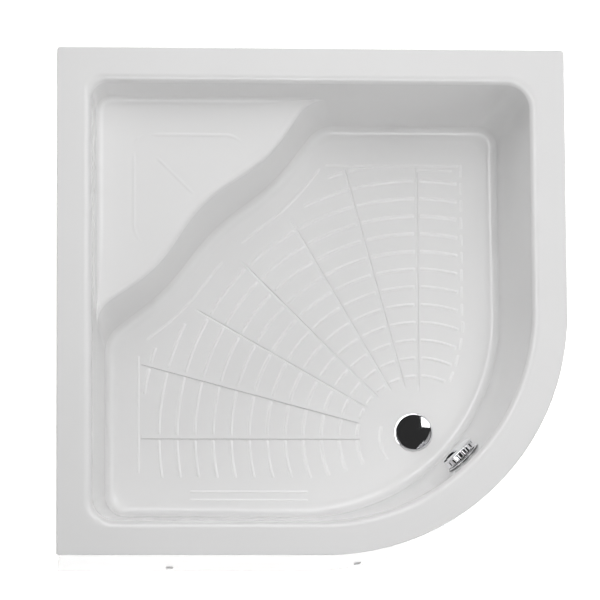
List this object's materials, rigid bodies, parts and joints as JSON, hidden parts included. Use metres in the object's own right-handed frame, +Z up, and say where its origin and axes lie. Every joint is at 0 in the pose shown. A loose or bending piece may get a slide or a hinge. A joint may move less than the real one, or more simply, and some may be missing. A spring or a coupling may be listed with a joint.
{
  "type": "corner bathtub",
  "caption": "Small quadrant corner tub with a built-in seat, a curved front panel, a pop-up waste worked by an overflow knob, and a steel frame on levelling feet.",
  "frame": {"origin": "centre of the square plan at floor level, under the middle of the tub", "axes": "+Z up; the seat corner points to -X and +Y, where the two walls meet; the curved front points to +X and -Y"},
  "size_m": [0.9, 0.9, 0.41],
  "materials": {
    "acrylic": "gloss",
    "fibreglass": "rough",
    "board": "matt",
    "timber": "sawn",
    "frame_steel": "zinc plated",
    "fastener_steel": "zinc plated",
    "panel_plastic": "gloss",
    "cap_plastic": "gloss",
    "chrome": "polished",
    "waste_plastic": "satin",
    "hose_plastic": "satin",
    "seal_rubber": "matt",
    "foot_plastic": "matt",
    "cable_sheath": "satin"
  },
  "bodies": {
    "tray": {"tub_shell": "acrylic", "fibreglass_backing": "fibreglass", "base_board": "board", "seat_board": "board", "rim_battens": "timber", "frame_rails": "frame_steel", "frame_cross_tubes": "frame_steel", "rim_posts": "frame_steel", "frame_nuts": "fastener_steel", "lock_nuts": "fastener_steel", "frame_screws": "fastener_steel", "post_screws": "fastener_steel", "front_panel": "panel_plastic", "panel_brackets": "frame_steel", "panel_screws": "cap_plastic", "waste_flange": "chrome", "upper_waste_seal": "seal_rubber", "lower_waste_seal": "seal_rubber", "waste_body": "waste_plastic", "trap_bowl": "waste_plastic", "trap_insert": "waste_plastic", "trap_cap": "waste_plastic", "coupling_nuts": "waste_plastic", "coupling_seals": "seal_rubber", "outlet_pipe": "waste_plastic", "overflow_faceplate": "chrome", "overflow_gasket": "seal_rubber", "overflow_seal": "seal_rubber", "overflow_body": "waste_plastic", "overflow_hose": "hose_plastic", "hose_nuts": "waste_plastic", "control_cable": "cable_sheath"},
    "knob": {"overflow_knob": "chrome", "knob_spindle": "chrome"},
    "plug": {"plug_cap": "chrome", "plug_seal": "seal_rubber", "plug_stem": "chrome"},
    "lever": {"lift_lever": "chrome"},
    "foot_1": {"foot_bolt_1": "fastener_steel", "foot_pad_1": "foot_plastic"},
    "foot_2": {"foot_bolt_2": "fastener_steel", "foot_pad_2": "foot_plastic"},
    "foot_3": {"foot_bolt_3": "fastener_steel", "foot_pad_3": "foot_plastic"},
    "foot_4": {"foot_bolt_4": "fastener_steel", "foot_pad_4": "foot_plastic"},
    "foot_5": {"foot_bolt_5": "fastener_steel", "foot_pad_5": "foot_plastic"}
  },
  "joints": [
    {"name": "knob_turn", "type": "hinge", "parent": "tray", "child": "knob", "pos_m": [0.27191, -0.27191, 0.335], "axis": [-0.6996, 0.6996, 0.1454], "range_deg": [0, 90]},
    {"name": "plug_lift", "type": "slide", "parent": "tray", "child": "plug", "axis": [0, 0, 1], "range_m": [0, 0.012]},
    {"name": "lever_swing", "type": "hinge", "parent": "tray", "child": "lever", "pos_m": [0.21516, -0.21516, 0.08], "axis": [0.7071, 0.7071, 0], "range_deg": [0, 38.2]},
    {"name": "foot_1_level", "type": "slide", "parent": "tray", "child": "foot_1", "axis": [0, 0, -1], "range_m": [0, 0.018]},
    {"name": "foot_2_level", "type": "slide", "parent": "tray", "child": "foot_2", "axis": [0, 0, -1], "range_m": [0, 0.018]},
    {"name": "foot_3_level", "type": "slide", "parent": "tray", "child": "foot_3", "axis": [0, 0, -1], "range_m": [0, 0.018]},
    {"name": "foot_4_level", "type": "slide", "parent": "tray", "child": "foot_4", "axis": [0, 0, -1], "range_m": [0, 0.018]},
    {"name": "foot_5_level", "type": "slide", "parent": "tray", "child": "foot_5", "axis": [0, 0, -1], "range_m": [0, 0.018]}
  ],
  "couplings": [
    {"joint": "plug_lift", "follows": "knob_turn", "m_per_rad": 0.0076394},
    {"joint": "lever_swing", "follows": "knob_turn", "ratio": 0.42441}
  ]
}
